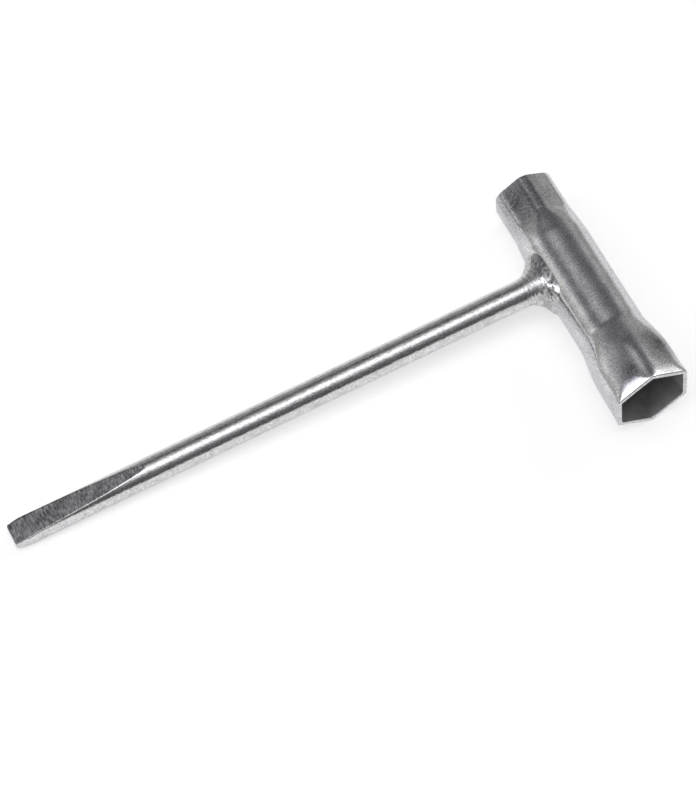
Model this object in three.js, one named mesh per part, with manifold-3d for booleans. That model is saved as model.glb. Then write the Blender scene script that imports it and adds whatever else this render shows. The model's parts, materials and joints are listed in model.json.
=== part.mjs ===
// Chainsaw combination wrench: a double-ended socket tube, a bar with a screwdriver blade, and the weld between.
// Sizes are in millimetres. The tool is drawn with the bar along X, blade towards -X, and the tube along Y,
// small socket towards +Y, both axes meeting at the origin. It is then laid down on Z = 0.
import * as THREE from "three";
import { mergeVertices } from "three/addons/utils/BufferGeometryUtils.js";
import Module from "manifold-3d";

const wasm = await Module();
wasm.setup();

// Sockets
const LARGE_NUT = 19;
const SMALL_NUT = 13;
const NUT_PLAY = 0.2;
const LARGE_WALL = 1.75;
const SMALL_WALL = 2.15;
const LARGE_REACH = 47.5;
const SMALL_REACH = 29.5;
const LARGE_FLATS = 11;
const SMALL_FLATS = 13;
const LARGE_FLARE = 14;
const SMALL_TAPER = 9;
const LARGE_CORNER = 3.2;
const SMALL_CORNER = 2;
const SOCKET_CORNER = 0.7;
const LIP_LENGTH = 4;
const LIP_DROP = 0.3;
const LIP_CORNER = 2;
const RIM_CHAMFER = 0.4;
const LEAD_IN = 0.4;

// Round middle of the tube
const TUBE_DIAMETER = 20;
const TUBE_WALL = 1.9;

// Bar and blade
const BAR_DIAMETER = 8.2;
const BAR_REACH = 175.4;
const BLADE_LENGTH = 43;
const BEVEL_LENGTH = 7;
const BEVEL_THICKNESS = 4.6;
const TIP_THICKNESS = 2;
const TIP_WIDTH = 6.9;
const SIDE_GRIND_LENGTH = 7.5;

// Flared foot of the bar and the weld bead around it
const FOOT_DIAMETER = 11.8;
const FOOT_RIM_HEIGHT = 2.2;
const FLARE_RADIUS = 7;
const BEAD_LENGTH = 18;
const BEAD_WIDTH = 14.4;
const BEAD_SQUARENESS = 3;
const BEAD_SHIFT = 0.8;
const BEAD_SIDE_HEIGHT = 1.8;
const BEAD_TOP_HEIGHT = 2.5;
const BEAD_CROWN = 0.35;
const WELD_GAP = 0.3;

// Fineness of the curved surfaces
const CORNER_STEPS = 7;
const TAPER_STEPS = 8;
const LIP_STEPS = 3;
const BAR_STEPS = 60;
const FLARE_STEPS = 8;
const BEAD_STEPS = 64;
const MERGE_DISTANCE = 1e-4;

// Looks
const ZINC_COLOUR = 0xc3c5c8;
const TUBE_ROUGHNESS = 0.38;
const BAR_ROUGHNESS = 0.25;
const WELD_ROUGHNESS = 0.32;

const tubeRadius = TUBE_DIAMETER / 2;
const barRadius = BAR_DIAMETER / 2;
const footRadius = FOOT_DIAMETER / 2;
const weldRadius = tubeRadius + WELD_GAP;

function blend(from, to, share) {
  return from + (to - from) * share;
}

// A hexagon with flats facing +X and -X, given by half its width across flats and the radius of its corners.
// With the corner radius as large as the half width it is a circle, so hexagons and circles join up.
function hexagonRing(y, halfWidth, cornerRadius) {
  const ring = [];
  const centreDistance = (halfWidth - cornerRadius) / Math.cos(Math.PI / 6);
  for (let side = 0; side < 6; side++) {
    const cornerAngle = Math.PI / 6 + (side * Math.PI) / 3;
    for (let step = 0; step <= CORNER_STEPS; step++) {
      const angle = cornerAngle + (step / CORNER_STEPS - 0.5) * (Math.PI / 3);
      const x = centreDistance * Math.cos(cornerAngle) + cornerRadius * Math.cos(angle);
      const z = centreDistance * Math.sin(cornerAngle) + cornerRadius * Math.sin(angle);
      ring.push(new THREE.Vector3(x, y, z));
    }
  }
  return ring;
}

// Joins closed rings of equally many points in a loop, the last ring back to the first, into one closed skin.
function ringLoop(rings) {
  const count = rings[0].length;
  const positions = rings.flat().flatMap((point) => point.toArray());
  const faces = [];
  for (let r = 0; r < rings.length; r++) {
    const next = (r + 1) % rings.length;
    for (let k = 0; k < count; k++) {
      const after = (k + 1) % count;
      const corners = [r * count + k, r * count + after, next * count + after, next * count + k];
      faces.push([corners[0], corners[1], corners[2]], [corners[0], corners[2], corners[3]]);
    }
  }
  const geometry = new THREE.BufferGeometry();
  geometry.setAttribute("position", new THREE.Float32BufferAttribute(positions, 3));
  geometry.setIndex(faces.flat());
  const merged = mergeVertices(geometry, MERGE_DISTANCE);
  const index = Array.from(merged.index.array);
  const kept = [];
  for (let i = 0; i < index.length; i += 3) {
    const [a, b, c] = index.slice(i, i + 3);
    if (a !== b && b !== c && c !== a) kept.push(a, b, c);
  }
  merged.setIndex(kept);
  return merged;
}

// How far the tube has turned from round into each hexagon at a place along it.
function largeShare(y) {
  const flatsStart = LARGE_REACH - LARGE_FLATS;
  return THREE.MathUtils.smoothstep(-y, flatsStart - LARGE_FLARE, flatsStart);
}

function smallShare(y) {
  const flatsStart = SMALL_REACH - SMALL_FLATS;
  return THREE.MathUtils.smoothstep(y, flatsStart - SMALL_TAPER, flatsStart);
}

function tubeRing(y, round, large, small, inset) {
  const toLarge = largeShare(y);
  const toSmall = smallShare(y);
  const mix = (key) => round + toLarge * (large[key] - round) + toSmall * (small[key] - round);
  return hexagonRing(y, mix("halfWidth") - inset, mix("corner"));
}

// The flats of the large hexagon bow in a little towards its mouth, and its corners sharpen to match.
function lipRings(largeHexagon) {
  return Array.from({ length: LIP_STEPS + 1 }, (_, step) => {
    const back = (LIP_LENGTH * step) / LIP_STEPS;
    const bow = (1 - back / LIP_LENGTH) ** 2;
    const halfWidth = largeHexagon.halfWidth - LIP_DROP * bow;
    const corner = blend(largeHexagon.corner, LIP_CORNER, bow);
    return hexagonRing(-LARGE_REACH + RIM_CHAMFER + back, halfWidth, corner);
  });
}

function tubePlaces() {
  const places = [];
  const largeFlatsEnd = -LARGE_REACH + LARGE_FLATS;
  const smallFlatsEnd = SMALL_REACH - SMALL_FLATS;
  for (let step = 0; step <= TAPER_STEPS; step++) {
    places.push(largeFlatsEnd + (LARGE_FLARE * step) / TAPER_STEPS);
  }
  for (let step = TAPER_STEPS; step >= 0; step--) {
    places.push(smallFlatsEnd - (SMALL_TAPER * step) / TAPER_STEPS);
  }
  return places;
}

function socketTube() {
  const largeHalf = (LARGE_NUT + NUT_PLAY) / 2;
  const smallHalf = (SMALL_NUT + NUT_PLAY) / 2;
  const largeOutside = { halfWidth: largeHalf + LARGE_WALL, corner: LARGE_CORNER };
  const smallOutside = { halfWidth: smallHalf + SMALL_WALL, corner: SMALL_CORNER };
  const largeInside = { halfWidth: largeHalf, corner: SOCKET_CORNER };
  const smallInside = { halfWidth: smallHalf, corner: SOCKET_CORNER };
  const boreRadius = tubeRadius - TUBE_WALL;
  const outside = (y, inset = 0) => tubeRing(y, tubeRadius, largeOutside, smallOutside, inset);
  const inside = (y, inset = 0) => tubeRing(y, boreRadius, largeInside, smallInside, inset);
  const largeRimHalf = largeOutside.halfWidth - LIP_DROP - RIM_CHAMFER;
  const outer = [
    hexagonRing(-LARGE_REACH, largeRimHalf, LIP_CORNER),
    ...lipRings(largeOutside),
    ...tubePlaces().map((y) => outside(y)),
    outside(SMALL_REACH - RIM_CHAMFER),
    outside(SMALL_REACH, RIM_CHAMFER),
  ];
  const inner = [
    inside(-LARGE_REACH, -LEAD_IN),
    inside(-LARGE_REACH + LEAD_IN),
    ...tubePlaces().map((y) => inside(y)),
    inside(SMALL_REACH - LEAD_IN),
    inside(SMALL_REACH, -LEAD_IN),
  ];
  return ringLoop([...outer.reverse(), ...inner]);
}

function toSolid(geometry) {
  const bare = geometry.clone();
  bare.deleteAttribute("normal");
  bare.deleteAttribute("uv");
  const merged = mergeVertices(bare, MERGE_DISTANCE);
  return new wasm.Manifold(new wasm.Mesh({
    numProp: 3,
    vertProperties: new Float32Array(merged.attributes.position.array),
    triVerts: new Uint32Array(merged.index.array),
  }));
}

function fromSolid(solid) {
  const mesh = solid.getMesh();
  const geometry = new THREE.BufferGeometry();
  geometry.setAttribute("position", new THREE.Float32BufferAttribute(mesh.vertProperties, 3));
  geometry.setIndex(Array.from(mesh.triVerts));
  return geometry;
}

// Turned shape of the bar: plain round, then a hollow flare out to the rim of the foot.
function barProfile() {
  const rimPlace = -(tubeRadius + FOOT_RIM_HEIGHT);
  const rise = footRadius - barRadius;
  const flareAngle = Math.acos(1 - rise / FLARE_RADIUS);
  const flareStart = rimPlace - FLARE_RADIUS * Math.sin(flareAngle);
  const points = [new THREE.Vector2(0, -BAR_REACH), new THREE.Vector2(barRadius, -BAR_REACH)];
  for (let step = 0; step <= FLARE_STEPS; step++) {
    const angle = (flareAngle * step) / FLARE_STEPS;
    const radius = barRadius + FLARE_RADIUS * (1 - Math.cos(angle));
    points.push(new THREE.Vector2(radius, flareStart + FLARE_RADIUS * Math.sin(angle)));
  }
  points.push(new THREE.Vector2(footRadius, 0), new THREE.Vector2(0, 0));
  return points;
}

// The blade as ground: a block that leaves the bar whole and narrows to the tip, in thickness and in width.
function bladeBlock(outline, depth) {
  const mirrored = outline.map(([x, height]) => [x, -height]).reverse();
  const shape = new THREE.Shape([...outline, ...mirrored].map(([x, height]) => new THREE.Vector2(x, height)));
  const block = new THREE.ExtrudeGeometry(shape, { depth, bevelEnabled: false });
  return block.translate(0, 0, -depth / 2);
}

function shank() {
  const bar = new THREE.LatheGeometry(barProfile(), BAR_STEPS);
  bar.rotateZ(-Math.PI / 2);
  const clear = BAR_DIAMETER * 2;
  const thickness = bladeBlock([
    [-BAR_REACH, TIP_THICKNESS / 2],
    [-BAR_REACH + BEVEL_LENGTH, BEVEL_THICKNESS / 2],
    [-BAR_REACH + BLADE_LENGTH, barRadius],
    [-BAR_REACH + BLADE_LENGTH, clear],
    [clear, clear],
  ], clear * 2);
  thickness.rotateX(Math.PI / 2);
  const width = bladeBlock([
    [-BAR_REACH, TIP_WIDTH / 2],
    [-BAR_REACH + SIDE_GRIND_LENGTH, barRadius],
    [-BAR_REACH + SIDE_GRIND_LENGTH, clear],
    [clear, clear],
  ], clear * 2);
  const tubeSide = new THREE.CylinderGeometry(weldRadius, weldRadius, TUBE_DIAMETER * 2, BAR_STEPS * 2);
  const solid = toSolid(bar)
    .intersect(toSolid(thickness))
    .intersect(toSolid(width))
    .subtract(toSolid(tubeSide));
  return fromSolid(solid);
}

// Distance from the bar's axis to the bead's edge on the tube, in a direction along and across the tube.
function beadReach(along, across) {
  const lengthwise = Math.abs((2 * along) / BEAD_LENGTH) ** BEAD_SQUARENESS;
  const crosswise = Math.abs((2 * across) / BEAD_WIDTH) ** BEAD_SQUARENESS;
  return (lengthwise + crosswise) ** (-1 / BEAD_SQUARENESS);
}

// Weld bead: a ring that follows the round of the tube, stands against the foot and spreads along the tube.
function weldBead() {
  const onTube = (y, z, height) => new THREE.Vector3(-Math.sqrt(weldRadius ** 2 - z ** 2) - height, y, z);
  const innerRadius = footRadius + WELD_GAP;
  const sections = [];
  for (let step = 0; step < BEAD_STEPS; step++) {
    const angle = (step / BEAD_STEPS) * 2 * Math.PI;
    const along = Math.cos(angle);
    const across = Math.sin(angle);
    const ridgeHeight = blend(BEAD_SIDE_HEIGHT, BEAD_TOP_HEIGHT, across ** 2) - WELD_GAP;
    const root = onTube(innerRadius * along, innerRadius * across, 0);
    const ridge = onTube(innerRadius * along, innerRadius * across, ridgeHeight);
    const toeRadius = beadReach(along, across);
    const toe = onTube(toeRadius * along - BEAD_SHIFT, toeRadius * across, 0);
    const outward = new THREE.Vector3(-1, along, across).normalize();
    const crown = ridge.clone().lerp(toe, 0.5).addScaledVector(outward, BEAD_CROWN);
    sections.push([root, toe, crown, ridge]);
  }
  return ringLoop(sections);
}

// The lowest point of a shape in a given direction.
function lowestPoint(points, up) {
  return points.reduce((low, point) => (point.dot(up) < low.dot(up) ? point : low));
}

function pointsOf(geometry) {
  const place = geometry.attributes.position;
  return Array.from({ length: place.count }, (_, i) => new THREE.Vector3().fromBufferAttribute(place, i));
}

// The tool lies on three places: the blade tip and one low corner at each end of the tube.
function restingUp(tubeGeometry, shankGeometry) {
  const tubePoints = pointsOf(tubeGeometry);
  const feet = [
    pointsOf(shankGeometry),
    tubePoints.filter((point) => point.y < 0),
    tubePoints.filter((point) => point.y > 0),
  ];
  const up = new THREE.Vector3(0, 0, 1);
  const settlingRounds = 6;
  for (let round = 0; round < settlingRounds; round++) {
    const [tip, large, small] = feet.map((points) => lowestPoint(points, up));
    up.crossVectors(large.clone().sub(tip), small.clone().sub(tip)).normalize();
  }
  return up;
}

function zinc(roughness) {
  return new THREE.MeshStandardMaterial({ color: ZINC_COLOUR, roughness, metalness: 1 });
}

function named(name, geometry, material) {
  geometry.computeVertexNormals();
  const mesh = new THREE.Mesh(geometry, material);
  mesh.name = name;
  return mesh;
}

const tubeGeometry = socketTube();
const shankGeometry = shank();
const wrench = new THREE.Group();
wrench.name = "chainsaw_wrench";
wrench.add(named("socket_tube", tubeGeometry, zinc(TUBE_ROUGHNESS)));
wrench.add(named("shank", shankGeometry, zinc(BAR_ROUGHNESS)));
wrench.add(named("weld_bead", weldBead(), zinc(WELD_ROUGHNESS)));

wrench.quaternion.setFromUnitVectors(restingUp(tubeGeometry, shankGeometry), new THREE.Vector3(0, 0, 1));
wrench.updateMatrixWorld(true);
const box = new THREE.Box3().setFromObject(wrench, true);
const centre = box.getCenter(new THREE.Vector3());
wrench.position.set(-centre.x, -centre.y, -box.min.z);
wrench.updateMatrixWorld(true);

export default wrench;
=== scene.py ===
import json
import math

import bmesh
import bpy
from mathutils import Matrix, Vector, noise


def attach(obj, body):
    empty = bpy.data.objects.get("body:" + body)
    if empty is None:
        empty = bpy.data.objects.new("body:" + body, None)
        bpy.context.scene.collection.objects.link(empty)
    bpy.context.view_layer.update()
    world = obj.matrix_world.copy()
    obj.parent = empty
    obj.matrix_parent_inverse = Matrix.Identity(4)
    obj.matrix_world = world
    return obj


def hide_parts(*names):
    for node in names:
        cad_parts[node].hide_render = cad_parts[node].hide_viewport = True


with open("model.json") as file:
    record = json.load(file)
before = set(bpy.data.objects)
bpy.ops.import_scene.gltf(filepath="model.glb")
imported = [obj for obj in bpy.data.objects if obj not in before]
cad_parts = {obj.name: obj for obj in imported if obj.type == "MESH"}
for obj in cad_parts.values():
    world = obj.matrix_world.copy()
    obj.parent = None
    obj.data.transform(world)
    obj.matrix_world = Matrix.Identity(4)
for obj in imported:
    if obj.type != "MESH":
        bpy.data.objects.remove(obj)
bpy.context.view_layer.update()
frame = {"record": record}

# The wrench is drawn as it was made: bar along X with the blade towards -X, socket tube along Y with the
# small socket towards +Y, both axes through the origin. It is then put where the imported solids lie.
MM = 0.001

# Socket tube, outside: a round tube, widened at the large end and pressed flat on six sides at both ends
TUBE_RADIUS = 10 * MM
LARGE_REACH = 47.5 * MM
SMALL_REACH = 29.5 * MM
LARGE_ROUND = 12.1 * MM
SMALL_ROUND = 9.4 * MM
# From the axis to the flats; between the sockets they lie clear of the round tube
LARGE_HALF = 11.35 * MM
SMALL_HALF = 8.75 * MM
FREE_HALF = 10.6 * MM
# How softly the flats run into the round
LARGE_SOFTNESS = 1 * MM
SMALL_SOFTNESS = 0.4 * MM
# The widening and the pressing: where each starts and ends from the bar's axis, and its soft lengths
FLARE_START = 23.7 * MM
FLARE_END = 38.5 * MM
FLARE_FOOT = 2 * MM
FLARE_EASE = 7 * MM
PRESS_START = 8.7 * MM
PRESS_END = 17.8 * MM
PRESS_FOOT = 1 * MM
PRESS_EASE = 1.2 * MM
# The lip of the large mouth, where the flats bend in and the corners stand out
LIP_LENGTH = 5.2 * MM
LIP_DROP = 0.45 * MM
LIP_CORNER_RISE = 0.6 * MM
LIP_SOFTNESS = 0.6 * MM
RIM_ROUND = 0.35 * MM
RIPPLE_LENGTH = 5 * MM
RIPPLE_DEPTH = 0.03 * MM
HALF_SIDE = math.pi / 6

# Socket tube, inside: a round bore that runs out into a hexagon at each end
BORE_RADIUS = 8.1 * MM
LARGE_SOCKET_HALF = 9.6 * MM
SMALL_SOCKET_HALF = 6.6 * MM
SOCKET_CORNER = 0.7 * MM
LARGE_FLATS = 11 * MM
SMALL_FLATS = 13 * MM
LARGE_FLARE = 14 * MM
SMALL_TAPER = 9 * MM

# Bar and blade
BAR_RADIUS = 4.1 * MM
BAR_REACH = 175.4 * MM
BLADE_LENGTH = 41.5 * MM
BEVEL_LENGTH = 7 * MM
BEVEL_THICKNESS = 4.6 * MM
TIP_THICKNESS = 2 * MM
TIP_WIDTH = 6.9 * MM
TIP_ROUND = 0.25 * MM
SIDE_GRIND_LENGTH = 7.5 * MM
EDGE_ROUND = 0.16 * MM
GRIND_TOLERANCE = 0.03 * MM

# Flared foot and weld
FOOT_RADIUS = 6.2 * MM
FOOT_RIM_HEIGHT = 2.2 * MM
FOOT_RIM_ROUND = 0.35 * MM
FLARE_RADIUS = 4.2 * MM
TOOL_MARK_PITCH = 0.8 * MM
TOOL_MARK_DEPTH = 0.03 * MM
BEAD_LENGTH = 18 * MM
BEAD_WIDTH = 14.4 * MM
BEAD_SQUARENESS = 4.5
BEAD_SHIFT = 0.8 * MM
BEAD_SIDE_HEIGHT = 2 * MM
BEAD_TOP_HEIGHT = 2.45 * MM
BEAD_BULGE = 0.15 * MM
BEAD_LUMP_LENGTH = 1.3 * MM
BEAD_LUMP_DEPTH = 0.16 * MM
FUSED_DEPTH = 0.3 * MM

# Fineness of the meshes
AROUND_TUBE = 240
OUTSIDE_STEP = 0.5 * MM
INSIDE_STEP = 2.5 * MM
ROUND_STEPS = 4
AROUND_QUARTER = 20
FLAT_STEPS = 8
SIDE_STEPS = 3
BAR_STEP = 1.6 * MM
BLADE_STEP = 0.6 * MM
FLARE_STEPS = 36
AROUND_BEAD = 240
ACROSS_BEAD = 32
MERGE_DISTANCE = 1e-7
SHARP_ANGLE = math.radians(40)

# Order of the materials on the tube, and on the shank
ON_OUTSIDE, ON_INSIDE = range(2)
ON_BAR, ON_BLADE, ON_FLARE = range(3)

# Finishes: a dark and a light colour, the least and greatest roughness, and a grain in waves per metre
TUBE_PLATE = {
    "dark": (0.44, 0.44, 0.455),
    "light": (0.76, 0.76, 0.77),
    "roughness": (0.09, 0.15),
    "grain_scale": (2200, 1800, 2200),
    "grain_depth": 0.02 * MM,
}
BAR_PLATE = {
    "dark": (0.46, 0.46, 0.465),
    "light": (0.77, 0.77, 0.775),
    "roughness": (0.08, 0.14),
    "grain_scale": (1400, 2600, 2600),
    "grain_depth": 0.04 * MM,
}
BLADE_GRIND = {
    "dark": (0.07, 0.07, 0.075),
    "light": (0.6, 0.6, 0.61),
    "roughness": (0.2, 0.3),
    "grain_scale": (4000, 650, 650),
    "grain_depth": 0.06 * MM,
}
FLARE_PLATE = {
    "dark": (0.35, 0.35, 0.355),
    "light": (0.7, 0.7, 0.705),
    "roughness": (0.2, 0.3),
    "grain_scale": (2500, 700, 700),
    "grain_depth": 0.05 * MM,
}
WELD_PLATE = {
    "dark": (0.3, 0.3, 0.305),
    "light": (0.65, 0.65, 0.655),
    "roughness": (0.06, 0.12),
    "grain_scale": (1300, 1300, 1300),
    "grain_depth": 0.05 * MM,
}
GRAIN_DETAIL = 3
MOTTLE_SCALE = 260
MOTTLE_DETAIL = 5
MOTTLE_SPAN = (0.3, 0.7)
MOTTLE_SHARE = 0.25
PIT_COLOUR = (0.15, 0.15, 0.16)
# The tones at which the pits, the dark colour and the light colour stand
TONE_STOPS = (0.1, 0.36, 0.64)
EDGE_TINT = (0.8, 0.8, 0.8, 1)
# Places on the tube where painted shade darkens the plate's colour, standing in for its dark reflections:
# centre and reach
PAINTED_SHADE_PLACES = [
    (Vector((-4.5, -42, 10.5)) * MM, 3.5 * MM),
    (Vector((8, -37, 8.5)) * MM, 8 * MM),
    (Vector((-5, 23, 7.6)) * MM, 11 * MM),
]
PAINTED_SHADE_DROP = 0.34
# The small socket's pressed flats, where little of the grain is left
PRESSED_MARK = "pressed"
PRESSED_GRAIN = 0.15
INSIDE_TONES = (0.2, 0.3)
INSIDE_ROUGHNESS = 0.9
INSIDE_SHINE = 0.1

# Camera, found by fitting the solids' edges to the photograph
CAMERA_TARGET = Vector((0.00685, 0.00115, 0.010))
CAMERA_AZIMUTH = math.radians(-25.63)
CAMERA_ELEVATION = math.radians(62.28)
CAMERA_DISTANCE = 0.97644
CAMERA_ROLL = math.radians(1.217)
CAMERA_SENSOR = 36
CAMERA_LENS = 157.5

# Floor: the distances between which it falls off to grey, a painted pool of light, and its colour and glow at
# each
FLOOR_SIZE = 6
FLOOR_EDGE = (0.17, 0.3)
FLOOR_COLOURS = (0.85, 0.65)
FLOOR_GLOWS = (0.46, 0.25)

# Each light: where it stands as seen from the wrench, how far it spreads each way, how bright it is.
# A level below nought is a dark panel, and the overhead light has no limit up and down.
NO_LIMIT = 1e3
LIGHTS = [
    ((-0.1, -0.06, 1), (0.35, 0.24, NO_LIMIT), 2.2),
    ((-0.2, 0.47, 0.86), (0.2, 0.12, 0.12), 0.26),
    ((-0.73, 0.14, 0.67), (0.12, 0.1, 0.12), 3.4),
    ((0.83, 0.2, 0.52), (0.12, 0.1, 0.12), 4.4),
    ((-0.8, 0.54, 0.33), (0.16, 0.07, 0.16), 0.62),
    ((-0.6, 0.4, 0.69), (0.12, 0.04, 0.12), -0.14),
]
# Between the lights: the studio's level and tint by height, from the horizon at 0 to overhead at 1
BACK_LEVELS = [(0, 0.42), (0.35, 0.42), (0.46, 0.34), (0.56, 0.21), (0.65, 0.17), (0.75, 0.12), (1, 0.12)]
FRONT_LEVELS = [(0, 1), (0.13, 1), (0.16, 0.13), (0.5, 0.13), (0.75, 0.17)]
FRONT_TO_BACK = (-0.2, 0.2)
SKY_TINTS = [(0.3, (1.01, 1, 0.97)), (0.65, (0.98, 0.98, 1.06)), (0.95, (1, 1, 1))]


def blend(start, end, share):
    return start + (end - start) * share


def smooth_step(value, start, end):
    share = min(max((value - start) / (end - start), 0), 1)
    return share * share * (3 - 2 * share)


def soft_ramp(value, start, end, soft_start, soft_end):
    """Rises from 0 to 1 at an even slope, but for a parabola of a given length at each end."""
    length = end - start
    place = min(max(value - start, 0), length)
    slope = 1 / (length - (soft_start + soft_end) / 2)
    if place < soft_start:
        return slope * place**2 / (2 * soft_start)
    if place > length - soft_end:
        return 1 - slope * (length - place) ** 2 / (2 * soft_end)
    return slope * (place - soft_start / 2)


def soft_least(first, second, softness):
    """The lesser of two lengths, blended where they come within the softness of each other."""
    share = min(max(0.5 + (second - first) / (2 * softness), 0), 1)
    return blend(second, first, share) - softness * share * (1 - share)


def lumps(point, length, depth):
    """Gentle unevenness of a made surface, about a length from lump to lump."""
    return depth * noise.noise(point / length)


def spaced(start, end, step):
    """Evenly spaced places from start to end, both included, about a step apart."""
    count = max(1, round(abs(end - start) / step))
    return [blend(start, end, k / count) for k in range(count + 1)]


def skin(name, rings, loop):
    """A mesh over closed rings of equally many points; with loop, the last ring joins the first."""
    count = len(rings[0])
    faces = []
    for r in range(len(rings) if loop else len(rings) - 1):
        near = r * count
        far = (r + 1) % len(rings) * count
        for k in range(count):
            after = (k + 1) % count
            faces.append((near + k, near + after, far + after, far + k))
    mesh = bpy.data.meshes.new(name)
    mesh.from_pydata([point for ring in rings for point in ring], [], faces)
    return mesh


def finish_mesh(mesh):
    """Merges points that fall together, turns faces outwards and shades smooth but for sharp edges."""
    work = bmesh.new()
    work.from_mesh(mesh)
    bmesh.ops.remove_doubles(work, verts=work.verts, dist=MERGE_DISTANCE)
    bmesh.ops.dissolve_degenerate(work, edges=work.edges, dist=MERGE_DISTANCE)
    bmesh.ops.recalc_face_normals(work, faces=work.faces)
    work.to_mesh(mesh)
    work.free()
    mesh.shade_smooth()
    mesh.set_sharp_from_angle(angle=SHARP_ANGLE)


# Socket tube
def outside_section(angle, y):
    """Distances from the axis to the round and to the nearest flat, and how softly the two meet."""
    widened = soft_ramp(-y, FLARE_START, FLARE_END, FLARE_FOOT, FLARE_EASE)
    pressed = soft_ramp(y, PRESS_START, PRESS_END, PRESS_FOOT, PRESS_EASE)
    bow = max(1 - (y + LARGE_REACH) / LIP_LENGTH, 0) ** 2
    round_half = TUBE_RADIUS + widened * (LARGE_ROUND - TUBE_RADIUS) + pressed * (SMALL_ROUND - TUBE_RADIUS)
    round_half += bow * LIP_CORNER_RISE
    flat_half = FREE_HALF + widened * (LARGE_HALF - FREE_HALF) + pressed * (SMALL_HALF - FREE_HALF)
    flat_half -= bow * LIP_DROP
    from_flat = (angle + HALF_SIDE) % (2 * HALF_SIDE) - HALF_SIDE
    softness = blend(blend(SMALL_SOFTNESS, LARGE_SOFTNESS, widened), LIP_SOFTNESS, bow)
    return round_half, flat_half / math.cos(from_flat), softness


def outside_radius(angle, y):
    radius = soft_least(*outside_section(angle, y))
    place = Vector((radius * math.cos(angle), y, radius * math.sin(angle)))
    return radius + lumps(place, RIPPLE_LENGTH, RIPPLE_DEPTH)


def mark_pressed(mesh):
    """Notes at each point how far it lies on a pressed flat of the small socket."""
    marks = mesh.attributes.new(PRESSED_MARK, "FLOAT", "POINT")
    for vertex, mark in zip(mesh.vertices, marks.data):
        angle = math.atan2(vertex.co.z, vertex.co.x)
        round_half, flat_reach, softness = outside_section(angle, vertex.co.y)
        share = min(max((round_half - flat_reach) / softness, 0), 1)
        mark.value = share if vertex.co.y > 0 else 0


def hexagon_radius(angle, half_width, corner):
    """Distance from the axis to a rounded hexagon, a circle if the corner is as large as the half width."""
    from_corner = abs(angle % (2 * HALF_SIDE) - HALF_SIDE)
    centre = (half_width - corner) / math.cos(HALF_SIDE)
    arc_end = math.atan2(corner * math.sin(HALF_SIDE), centre + corner * math.cos(HALF_SIDE))
    if from_corner <= arc_end:
        return centre * math.cos(from_corner) + math.sqrt(corner**2 - (centre * math.sin(from_corner)) ** 2)
    return half_width / math.cos(HALF_SIDE - from_corner)


def inside_radius(angle, y):
    """Distance from the axis to the inside, which is round between its two hexagons."""
    large_start = LARGE_REACH - LARGE_FLATS
    small_start = SMALL_REACH - SMALL_FLATS
    to_large = smooth_step(-y, large_start - LARGE_FLARE, large_start)
    to_small = smooth_step(y, small_start - SMALL_TAPER, small_start)
    half_width = BORE_RADIUS
    half_width += to_large * (LARGE_SOCKET_HALF - BORE_RADIUS) + to_small * (SMALL_SOCKET_HALF - BORE_RADIUS)
    corner = blend(BORE_RADIUS, SOCKET_CORNER, to_large + to_small)
    return hexagon_radius(angle, half_width, corner)


def tube_ring(y, radius_at, inset):
    ring = []
    for k in range(AROUND_TUBE):
        angle = 2 * math.pi * k / AROUND_TUBE
        radius = radius_at(angle, y) - inset
        ring.append(Vector((radius * math.cos(angle), y, radius * math.sin(angle))))
    return ring


def rounded_rim(end, towards, radius_at, side):
    """Rings over a rounded rim, from the wall to the end face. side is 1 outside the tube and -1 inside."""
    rings = []
    for step in range(ROUND_STEPS + 1):
        angle = math.pi / 2 * step / ROUND_STEPS
        y = end + towards * RIM_ROUND * (1 - math.sin(angle))
        rings.append(tube_ring(y, radius_at, side * RIM_ROUND * (1 - math.cos(angle))))
    return rings


def tube_wall(radius_at, step):
    places = spaced(-LARGE_REACH + RIM_ROUND, SMALL_REACH - RIM_ROUND, step)[1:-1]
    return [tube_ring(y, radius_at, 0) for y in places]


def socket_tube_mesh():
    outside = rounded_rim(-LARGE_REACH, 1, outside_radius, 1)[::-1]
    outside += tube_wall(outside_radius, OUTSIDE_STEP)
    outside += rounded_rim(SMALL_REACH, -1, outside_radius, 1)
    inside = rounded_rim(SMALL_REACH, -1, inside_radius, -1)[::-1]
    inside += tube_wall(inside_radius, INSIDE_STEP)[::-1]
    inside += rounded_rim(-LARGE_REACH, 1, inside_radius, -1)
    mesh = skin("plated_socket_tube", outside + inside, loop=True)
    first_inside = (len(outside) + ROUND_STEPS) * AROUND_TUBE
    last_inside = (len(outside) + len(inside) - ROUND_STEPS - 1) * AROUND_TUBE
    for face in mesh.polygons:
        face.material_index = ON_INSIDE if first_inside <= face.index < last_inside else ON_OUTSIDE
    finish_mesh(mesh)
    mark_pressed(mesh)
    return mesh


# Shank
def ground_half(x, radius):
    """Half the bar's thickness at a place along it, less where the blade is ground."""
    from_tip = x + BAR_REACH
    if from_tip < BEVEL_LENGTH:
        return blend(TIP_THICKNESS, BEVEL_THICKNESS, from_tip / BEVEL_LENGTH) / 2
    if from_tip < BLADE_LENGTH:
        share = (from_tip - BEVEL_LENGTH) / (BLADE_LENGTH - BEVEL_LENGTH)
        return blend(BEVEL_THICKNESS / 2, BAR_RADIUS, share)
    return radius


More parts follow.
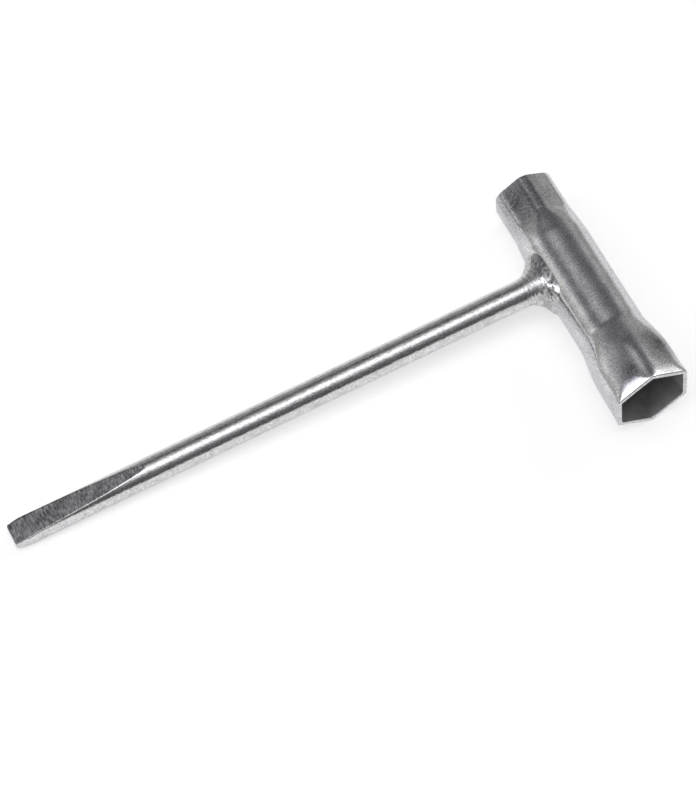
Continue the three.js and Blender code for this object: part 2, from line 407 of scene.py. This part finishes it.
def quarter_section(x, radius):
    """A quarter of the bar's section as (y, z) points, from the middle of its top to that of its side."""
    top = ground_half(x, radius)
    side = blend(TIP_WIDTH / 2, radius, min((x + BAR_REACH) / SIDE_GRIND_LENGTH, 1))
    flat_half = min(math.sqrt(radius**2 - top**2), side)
    side_half = min(math.sqrt(radius**2 - side**2), top)
    start = math.atan2(top, flat_half)
    end = math.atan2(side_half, side)
    edge = min(EDGE_ROUND, flat_half / 2)
    points = [((flat_half - edge) * k / FLAT_STEPS, top) for k in range(FLAT_STEPS + 1)]
    crease = math.pi / 2 - start
    cut = edge * math.tan(crease / 4)
    points.append((flat_half - cut * math.sin(crease / 2), top - cut * math.cos(crease / 2)))
    if side_half < top:
        first = start - edge / radius
        angles = [blend(first, end, k / AROUND_QUARTER) for k in range(AROUND_QUARTER + 1)]
        points += [(radius * math.cos(angle), radius * math.sin(angle)) for angle in angles]
    else:
        points += [(side, top - edge)] * (AROUND_QUARTER + 1)
        side_half = top - edge
    points += [(side, side_half * (1 - k / SIDE_STEPS)) for k in range(1, SIDE_STEPS)]
    return points


def bar_ring(x, radius):
    upper_right = quarter_section(x, radius)
    lower_right = [(y, -z) for y, z in reversed(upper_right)]
    lower_left = [(-y, -z) for y, z in upper_right]
    upper_left = [(-y, z) for y, z in reversed(upper_right)]
    return [Vector((x, y, z)) for y, z in upper_right + lower_right + lower_left + upper_left]


def on_tube(y, z, height):
    """A point at a height over the tube's side that faces the bar."""
    return Vector((-math.sqrt(TUBE_RADIUS**2 - z**2) - height, y, z))


def bent_ring(x, radius):
    """A ring of the flare with its tool marks, which bends to follow the tube as it widens."""
    share = (radius - BAR_RADIUS) / (FOOT_RADIUS - BAR_RADIUS)
    mark = TOOL_MARK_DEPTH * math.sin(2 * math.pi * x / TOOL_MARK_PITCH)
    ring = bar_ring(x, radius + mark * math.sin(math.pi * share))
    for point in ring:
        point.x += share * (TUBE_RADIUS + on_tube(0, point.z, 0).x)
    return ring


def foot_rings():
    """Rings along the flare, from the bar to the rim of the foot and down into the tube, and its start."""
    rim = -(TUBE_RADIUS + FOOT_RIM_HEIGHT)
    flare_angle = math.acos(1 - (FOOT_RADIUS - BAR_RADIUS) / FLARE_RADIUS)
    start = rim - FLARE_RADIUS * math.sin(flare_angle)
    rings = []
    for step in range(FLARE_STEPS + 1):
        angle = flare_angle * step / FLARE_STEPS
        radius = BAR_RADIUS + FLARE_RADIUS * (1 - math.cos(angle))
        rings.append(bent_ring(start + FLARE_RADIUS * math.sin(angle), radius))
    rings.append(bent_ring(rim + FOOT_RIM_ROUND, FOOT_RADIUS))
    rings.append([on_tube(point.y, point.z, -FUSED_DEPTH) for point in rings[-1]])
    return rings, start


def shank_material(place, flare_start):
    """Which of the shank's materials a face at a place has."""
    if place.x > flare_start:
        return ON_FLARE
    on_flat = abs(place.z) > ground_half(place.x, BAR_RADIUS) - GRIND_TOLERANCE
    return ON_BLADE if on_flat and place.x < BLADE_LENGTH - BAR_REACH else ON_BAR


def shank_mesh():
    tip = -BAR_REACH
    places = spaced(tip + TIP_ROUND, tip + BEVEL_LENGTH, BLADE_STEP)
    places += spaced(tip + BEVEL_LENGTH, tip + BLADE_LENGTH, BLADE_STEP)[1:]
    foot, flare_start = foot_rings()
    places += spaced(tip + BLADE_LENGTH, flare_start, BAR_STEP)[1:-1]
    rings = [bar_ring(x, BAR_RADIUS) for x in places]
    inset = 1 - TIP_ROUND / TIP_THICKNESS
    end = [Vector((tip, point.y * inset, point.z * inset)) for point in rings[0]]
    middle = [Vector((tip, 0, 0))] * len(end)
    root = [on_tube(0, 0, -FUSED_DEPTH)] * len(end)
    mesh = skin("plated_shank", [middle, end] + rings + foot + [root], loop=False)
    finish_mesh(mesh)
    for face in mesh.polygons:
        face.material_index = shank_material(face.center, flare_start)
    return mesh


# Weld bead
def bead_reach(along, across):
    """Distance from the bar's axis to the bead's edge, in a direction along and across the tube."""
    lengthwise = abs(2 * along / BEAD_LENGTH) ** BEAD_SQUARENESS
    crosswise = abs(2 * across / BEAD_WIDTH) ** BEAD_SQUARENESS
    return (lengthwise + crosswise) ** (-1 / BEAD_SQUARENESS)


def bead_section(angle):
    """Points over the bead at an angle around the bar, from its root by its ridge to its toe."""
    along = math.cos(angle)
    across = math.sin(angle)
    height = blend(BEAD_SIDE_HEIGHT, BEAD_TOP_HEIGHT, across**2)
    inner = FOOT_RADIUS - FUSED_DEPTH
    reach = bead_reach(along, across)
    root = on_tube(inner * along, inner * across, -FUSED_DEPTH)
    ridge = on_tube(FOOT_RADIUS * along, FOOT_RADIUS * across, height)
    toe = on_tube(reach * along - BEAD_SHIFT, reach * across, -FUSED_DEPTH / 2)
    outward = Vector((-1, along, across)).normalized()
    section = [root]
    for k in range(ACROSS_BEAD + 1):
        share = k / ACROSS_BEAD
        point = ridge.lerp(toe, share)
        swell = BEAD_BULGE + lumps(point, BEAD_LUMP_LENGTH, BEAD_LUMP_DEPTH)
        section.append(point + outward * swell * math.sin(math.pi * share))
    return section


def weld_bead_mesh():
    sections = [bead_section(2 * math.pi * step / AROUND_BEAD) for step in range(AROUND_BEAD)]
    mesh = skin("plated_weld_bead", sections, loop=True)
    finish_mesh(mesh)
    return mesh


# Shader nodes
def add_node(tree, kind, sockets=None, **settings):
    """A node whose sockets take plain values or other nodes' outputs."""
    node = tree.nodes.new(kind)
    for name, value in settings.items():
        setattr(node, name, value)
    for name, value in (sockets or {}).items():
        if isinstance(value, bpy.types.NodeSocket):
            tree.links.new(value, node.inputs[name])
        else:
            node.inputs[name].default_value = value
    return node


def calculate(tree, operation, *values):
    return add_node(tree, "ShaderNodeMath", dict(enumerate(values)), operation=operation).outputs[0]


def combine_vectors(tree, operation, output, *vectors):
    node = add_node(tree, "ShaderNodeVectorMath", dict(enumerate(vectors)), operation=operation)
    return node.outputs[output]


def map_range(tree, value, span, results):
    """Runs from the first to the second result as a value goes through a span."""
    sockets = {"Value": value, "From Min": span[0], "From Max": span[1]}
    sockets.update({"To Min": results[0], "To Max": results[1]})
    return add_node(tree, "ShaderNodeMapRange", sockets).outputs[0]


def uneven(tree, place, scale, detail):
    sockets = {"Vector": place, "Scale": scale, "Detail": detail}
    return add_node(tree, "ShaderNodeTexNoise", sockets).outputs[0]


def ramp(tree, value, stops):
    """A colour or grey that runs through (place, level) stops as a value goes from 0 to 1."""
    node = add_node(tree, "ShaderNodeValToRGB", {"Fac": value})
    elements = node.color_ramp.elements
    while len(elements) < len(stops):
        elements.new(1)
    for element, (place, level) in zip(elements, stops):
        element.position = place
        element.color = (*level, 1) if isinstance(level, tuple) else (level, level, level, 1)
    return node.outputs["Color"]


# Materials
def new_material(name):
    material = bpy.data.materials.new(name)
    material.use_nodes = True
    return material, material.node_tree, material.node_tree.nodes["Principled BSDF"]


def wrench_place(tree):
    """Coordinates along the wrench's own axes, in metres."""
    back = placement().inverted()
    place = add_node(tree, "ShaderNodeTexCoord").outputs["Object"]
    sockets = {"Vector": place, "Location": back.to_translation(), "Rotation": back.to_euler()}
    return add_node(tree, "ShaderNodeMapping", sockets).outputs[0]


def painted_shade_share(tree, place):
    """How far a point lies in one of the places of painted shade."""
    darkening = 0
    for centre, reach in PAINTED_SHADE_PLACES:
        apart = combine_vectors(tree, "DISTANCE", "Value", place, centre)
        darkening = calculate(tree, "MAXIMUM", darkening, map_range(tree, apart, (0, reach), (1, 0)))
    return darkening


def zinc(name, finish, shaded_and_pressed=False):
    """Zinc plate with a mottled, speckled colour and a grain; the tube's plate also has places of painted
    shade and pressed places.
    """
    material, tree, shader = new_material(name)
    place = wrench_place(tree)
    mottle = uneven(tree, place, MOTTLE_SCALE, MOTTLE_DETAIL)
    stretched = add_node(tree, "ShaderNodeMapping", {"Vector": place, "Scale": finish["grain_scale"]})
    grain = uneven(tree, stretched.outputs[0], 1, GRAIN_DETAIL)
    tone = map_range(tree, MOTTLE_SHARE, (0, 1), (grain, mottle))
    strength = 1
    if shaded_and_pressed:
        # Painted shade: the tone is darkened in the places listed for it
        tone = calculate(tree, "MULTIPLY_ADD", painted_shade_share(tree, place), -PAINTED_SHADE_DROP, tone)
        pressed = add_node(tree, "ShaderNodeAttribute", attribute_name=PRESSED_MARK).outputs["Fac"]
        strength = map_range(tree, pressed, (0, 1), (1, PRESSED_GRAIN))
    colour = ramp(tree, tone, list(zip(TONE_STOPS, (PIT_COLOUR, finish["dark"], finish["light"]))))
    polish = map_range(tree, mottle, MOTTLE_SPAN, finish["roughness"])
    relief = {"Height": grain, "Distance": finish["grain_depth"], "Strength": strength}
    bump = add_node(tree, "ShaderNodeBump", relief).outputs[0]
    shader.inputs["Metallic"].default_value = 1
    shader.inputs["Specular Tint"].default_value = EDGE_TINT
    tree.links.new(colour, shader.inputs["Base Color"])
    tree.links.new(polish, shader.inputs["Roughness"])
    tree.links.new(bump, shader.inputs["Normal"])
    return material


def bare_inside():
    """The dull wall inside the tube, where little plate has settled."""
    material, tree, shader = new_material("dull_inside")
    stain = uneven(tree, wrench_place(tree), MOTTLE_SCALE, MOTTLE_DETAIL)
    colour = ramp(tree, stain, list(zip(MOTTLE_SPAN, INSIDE_TONES)))
    tree.links.new(colour, shader.inputs["Base Color"])
    shader.inputs["Roughness"].default_value = INSIDE_ROUGHNESS
    shader.inputs["Specular IOR Level"].default_value = INSIDE_SHINE
    return material


# Assembly
def placement():
    """Where the wrench's own axes lie in the frame, from the faces that the record states."""
    mounts = {mount["name"]: mount for mount in frame["record"]["mounts"]}
    along_bar = -Vector(mounts["blade_tip"]["axis"]).normalized()
    along_tube = Vector(mounts["small_mouth"]["axis"]).normalized()
    origin = Vector(mounts["blade_tip"]["pos_m"]) + along_bar * BAR_REACH
    axes = Matrix((along_bar, along_tube, along_bar.cross(along_tube))).transposed()
    return Matrix.Translation(origin) @ axes.to_4x4()


def add_piece(mesh, node, materials):
    piece = bpy.data.objects.new(mesh.name, mesh)
    bpy.context.scene.collection.objects.link(piece)
    for material in materials:
        mesh.materials.append(material)
    mesh.transform(placement())
    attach(piece, "root")
    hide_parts(node)


def add_wrench():
    tube_zinc = zinc("zinc_tube_plate", TUBE_PLATE, shaded_and_pressed=True)
    bar_zinc = zinc("zinc_bar_plate", BAR_PLATE)
    blade_zinc = zinc("zinc_blade_ground", BLADE_GRIND)
    flare_zinc = zinc("zinc_flare_plate", FLARE_PLATE)
    weld_zinc = zinc("zinc_weld_plate", WELD_PLATE)
    add_piece(socket_tube_mesh(), "socket_tube", [tube_zinc, bare_inside()])
    add_piece(shank_mesh(), "shank", [bar_zinc, blade_zinc, flare_zinc])
    add_piece(weld_bead_mesh(), "weld_bead", [weld_zinc])


# Studio
def flat_square(name, size):
    half = size / 2
    mesh = bpy.data.meshes.new(name)
    corners = [(-half, -half, 0), (half, -half, 0), (half, half, 0), (-half, half, 0)]
    mesh.from_pydata(corners, [], [(0, 1, 2, 3)])
    square = bpy.data.objects.new(name, mesh)
    bpy.context.scene.collection.objects.link(square)
    return square


def add_floor():
    """A white floor with a glow of its own, which falls off to grey outside the picture as a painted pool of
    light.
    """
    floor = flat_square("floor", FLOOR_SIZE)
    material, tree, shader = new_material("white_floor")
    place = add_node(tree, "ShaderNodeTexCoord").outputs["Object"]
    distance = combine_vectors(tree, "LENGTH", "Value", place)
    colour = ramp(tree, distance, list(zip(FLOOR_EDGE, FLOOR_COLOURS)))
    glow = ramp(tree, distance, list(zip(FLOOR_EDGE, FLOOR_GLOWS)))
    tree.links.new(colour, shader.inputs["Base Color"])
    tree.links.new(glow, shader.inputs["Emission Color"])
    shader.inputs["Emission Strength"].default_value = 1
    shader.inputs["Roughness"].default_value = 1
    shader.inputs["Specular IOR Level"].default_value = 0
    floor.data.materials.append(material)


def soft_light(tree, direction, place, spread, level):
    """The glow that a soft light gives in a direction, a bell curve each way from its middle."""
    offset = combine_vectors(tree, "SUBTRACT", "Vector", direction, Vector(place).normalized())
    shares = combine_vectors(tree, "DIVIDE", "Vector", offset, spread)
    square = combine_vectors(tree, "DOT_PRODUCT", "Value", shares, shares)
    glow = calculate(tree, "EXPONENT", calculate(tree, "MULTIPLY", square, -0.5))
    return calculate(tree, "MULTIPLY", glow, level)


def add_surroundings():
    """A dim studio, paler towards the horizon, with soft lights overhead and at both sides of the tube."""
    world = bpy.data.worlds.new("studio")
    world.use_nodes = True
    tree = world.node_tree
    direction = add_node(tree, "ShaderNodeTexCoord").outputs["Generated"]
    axes = add_node(tree, "ShaderNodeSeparateXYZ", {"Vector": direction}).outputs
    front = ramp(tree, axes["Z"], FRONT_LEVELS)
    back = ramp(tree, axes["Z"], BACK_LEVELS)
    level = map_range(tree, axes["Y"], FRONT_TO_BACK, (front, back))
    for place, spread, brightness in LIGHTS:
        level = calculate(tree, "ADD", level, soft_light(tree, direction, place, spread, brightness))
    level = calculate(tree, "MAXIMUM", level, 0)
    background = tree.nodes["Background"]
    tree.links.new(level, background.inputs["Strength"])
    tree.links.new(ramp(tree, axes["Z"], SKY_TINTS), background.inputs["Color"])
    bpy.context.scene.world = world


def add_camera():
    camera = bpy.data.objects.new("camera", bpy.data.cameras.new("camera"))
    camera.data.sensor_width = CAMERA_SENSOR
    camera.data.lens = CAMERA_LENS
    back = Vector((
        math.sin(CAMERA_AZIMUTH) * math.cos(CAMERA_ELEVATION),
        -math.cos(CAMERA_AZIMUTH) * math.cos(CAMERA_ELEVATION),
        math.sin(CAMERA_ELEVATION),
    ))
    level = (-back).to_track_quat("-Z", "Y").to_matrix().to_4x4()
    roll = Matrix.Rotation(-CAMERA_ROLL, 4, "Z")
    camera.matrix_world = Matrix.Translation(CAMERA_TARGET + back * CAMERA_DISTANCE) @ level @ roll
    bpy.context.scene.collection.objects.link(camera)
    bpy.context.scene.camera = camera


add_wrench()
add_floor()
add_surroundings()
add_camera()
bpy.context.scene.view_settings.view_transform = "Standard"
